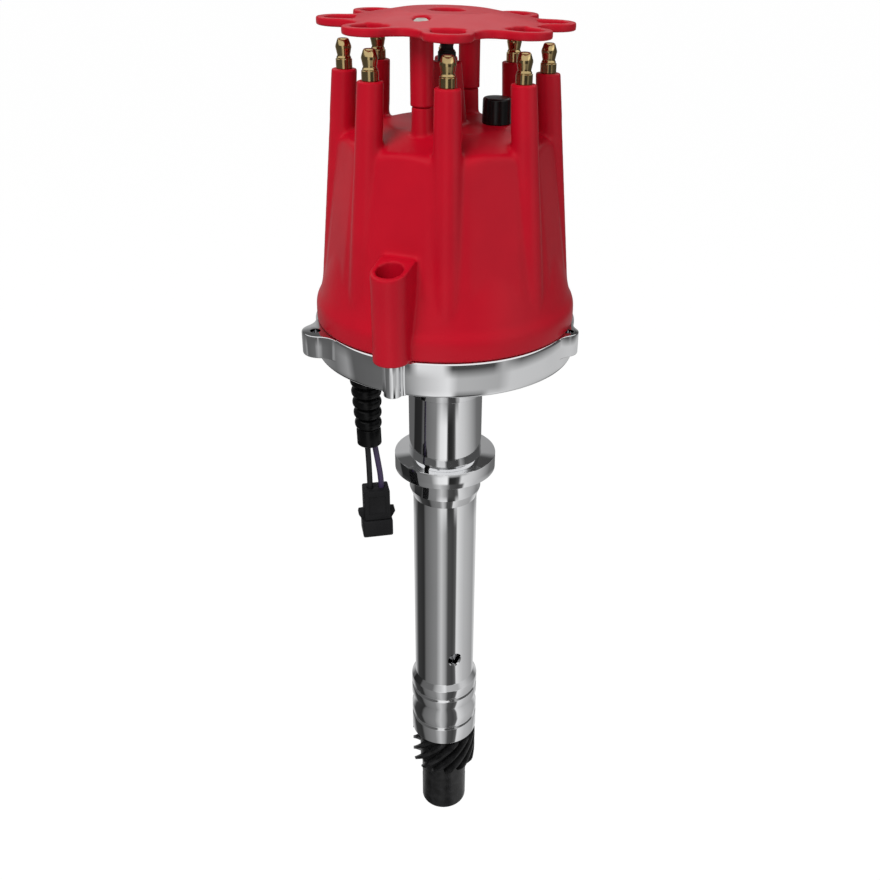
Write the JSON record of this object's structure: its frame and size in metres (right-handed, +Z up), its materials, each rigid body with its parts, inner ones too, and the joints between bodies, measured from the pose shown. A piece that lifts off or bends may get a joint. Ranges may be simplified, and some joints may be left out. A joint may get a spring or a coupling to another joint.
{
  "type": "ignition distributor",
  "caption": "Engine ignition distributor: fluted red cap with wire retainer, polished stem housing, advance mechanism and helical drive gear.",
  "frame": {"origin": "centre of the hold-down collar's underside, on the shaft's axis", "axes": "+Z up along the shaft towards the cap, -Y towards the front tower, +X to the right seen from the front"},
  "size_m": [0.1086, 0.114, 0.3924],
  "materials": {
    "polished_aluminium": "turned and polished",
    "red_moulding": "satin moulded",
    "turned_brass": "turned, lightly aged",
    "blackened_iron": "black oxide, oiled",
    "ground_steel": "ground",
    "plated_steel": "zinc plated",
    "sintered_bronze": "sintered, oil filled",
    "black_rubber": "moulded",
    "black_plastic": "moulded",
    "black_gloss_plastic": "moulded",
    "black_insulation": "extruded",
    "violet_insulation": "extruded",
    "carbon": "pressed"
  },
  "bodies": {
    "housing_group": {"housing": "polished_aluminium", "lower_bushing": "sintered_bronze", "bearing_outer_race": "ground_steel", "bearing_balls": "ground_steel", "bearing_snap_ring": "blackened_iron", "pickup_bracket": "plated_steel", "pickup_screws": "plated_steel", "pickup_coil_case": "black_plastic", "pickup_pole": "ground_steel", "cap": "red_moulding", "spark_terminals": "turned_brass", "coil_terminal": "blackened_iron", "carbon_brush": "carbon", "brush_spring": "plated_steel", "cap_screws": "plated_steel", "vent_plug": "black_gloss_plastic", "wire_retainer": "red_moulding", "retainer_screws": "plated_steel", "cable_boot": "black_rubber", "pickup_wire_a": "black_insulation", "pickup_wire_b": "violet_insulation", "connector_shell": "black_plastic", "connector_blades": "turned_brass"},
    "shaft_group": {"drive_shaft": "ground_steel", "drive_gear": "blackened_iron", "gear_roll_pin": "blackened_iron", "gear_thrust_washer": "ground_steel", "bearing_inner_race": "ground_steel", "driver_plate": "plated_steel", "stop_pin": "ground_steel", "stop_bushing": "sintered_bronze", "sleeve_thrust_washer": "ground_steel"},
    "advance_group": {"advance_sleeve": "ground_steel", "weight_base": "plated_steel", "weight_pivots": "ground_steel", "rotor_stands": "ground_steel", "reluctor": "ground_steel", "rotor": "red_moulding", "rotor_contact": "turned_brass", "rotor_screws": "plated_steel", "advance_spring_1": "plated_steel", "advance_spring_2": "plated_steel"},
    "weight_a_group": {"weight_a": "plated_steel", "weight_a_drive_pin": "ground_steel"},
    "weight_b_group": {"weight_b": "plated_steel", "weight_b_drive_pin": "ground_steel"}
  },
  "joints": [
    {"name": "shaft_spin", "type": "hinge", "parent": "housing_group", "child": "shaft_group", "pos_m": [0, 0, 0], "axis": [0, 0, -1], "continuous": true},
    {"name": "mechanical_advance", "type": "hinge", "parent": "shaft_group", "child": "advance_group", "pos_m": [0, 0, 0], "axis": [0, 0, -1], "range_deg": [0, 12], "stiffness_Nm_per_rad": 0.3, "deforming": ["advance_spring_1", "advance_spring_2"]},
    {"name": "weight_a_swing", "type": "hinge", "parent": "advance_group", "child": "weight_a_group", "pos_m": [0, 0.024, 0], "axis": [0, 0, -1], "range_deg": [0, 25.2]},
    {"name": "weight_b_swing", "type": "hinge", "parent": "advance_group", "child": "weight_b_group", "pos_m": [0, -0.024, 0], "axis": [0, 0, -1], "range_deg": [0, 25.2]}
  ],
  "couplings": [
    {"joint": "weight_a_swing", "follows": "mechanical_advance", "ratio": 2.1},
    {"joint": "weight_b_swing", "follows": "mechanical_advance", "ratio": 2.1}
  ]
}
